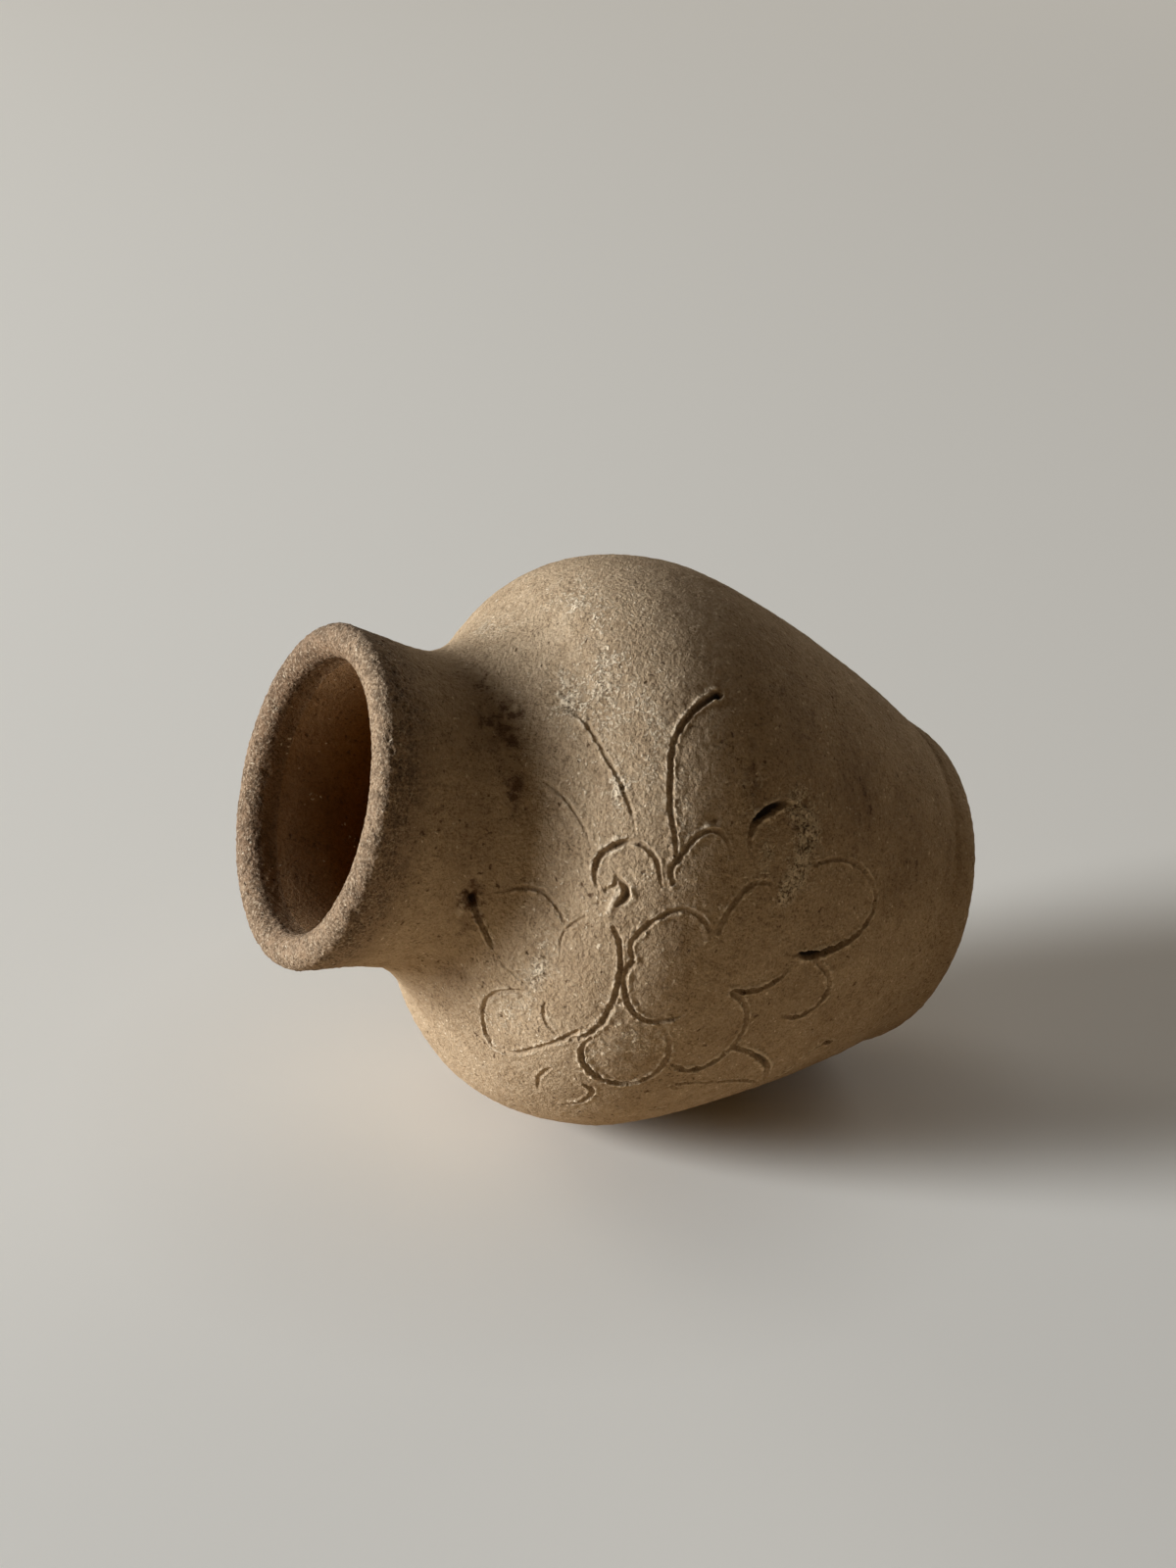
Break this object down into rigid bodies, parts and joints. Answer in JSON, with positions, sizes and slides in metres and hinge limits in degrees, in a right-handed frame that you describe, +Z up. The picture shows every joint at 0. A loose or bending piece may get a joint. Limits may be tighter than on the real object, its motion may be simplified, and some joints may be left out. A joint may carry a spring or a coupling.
{
  "type": "pot",
  "caption": "Small unglazed clay pot with a round belly, a short flared neck, a thick rolled lip and a low foot disc; holds stems or stands alone as decoration.",
  "frame": {"origin": "centre of the flat face of the foot that the pot stands on", "axes": "+Z up the pot's axis from the foot to the mouth; X and Y are any two directions across it, as the pot is round"},
  "size_m": [0.084, 0.084, 0.1],
  "materials": {
    "foot_clay": "unglazed sandy buff clay, worn smooth at the edge",
    "wall_clay": "unglazed sandy buff clay with raised grain, incised by hand",
    "neck_clay": "unglazed buff clay, wiped smooth, stained brown at its root",
    "lip_clay": "unglazed pinkish buff clay, open and gritty with small pits"
  },
  "bodies": {
    "root": {"foot_disc": "foot_clay", "lower_belly": "wall_clay", "upper_belly": "wall_clay", "neck_collar": "neck_clay", "rim_lip": "lip_clay"}
  },
  "joints": []
}
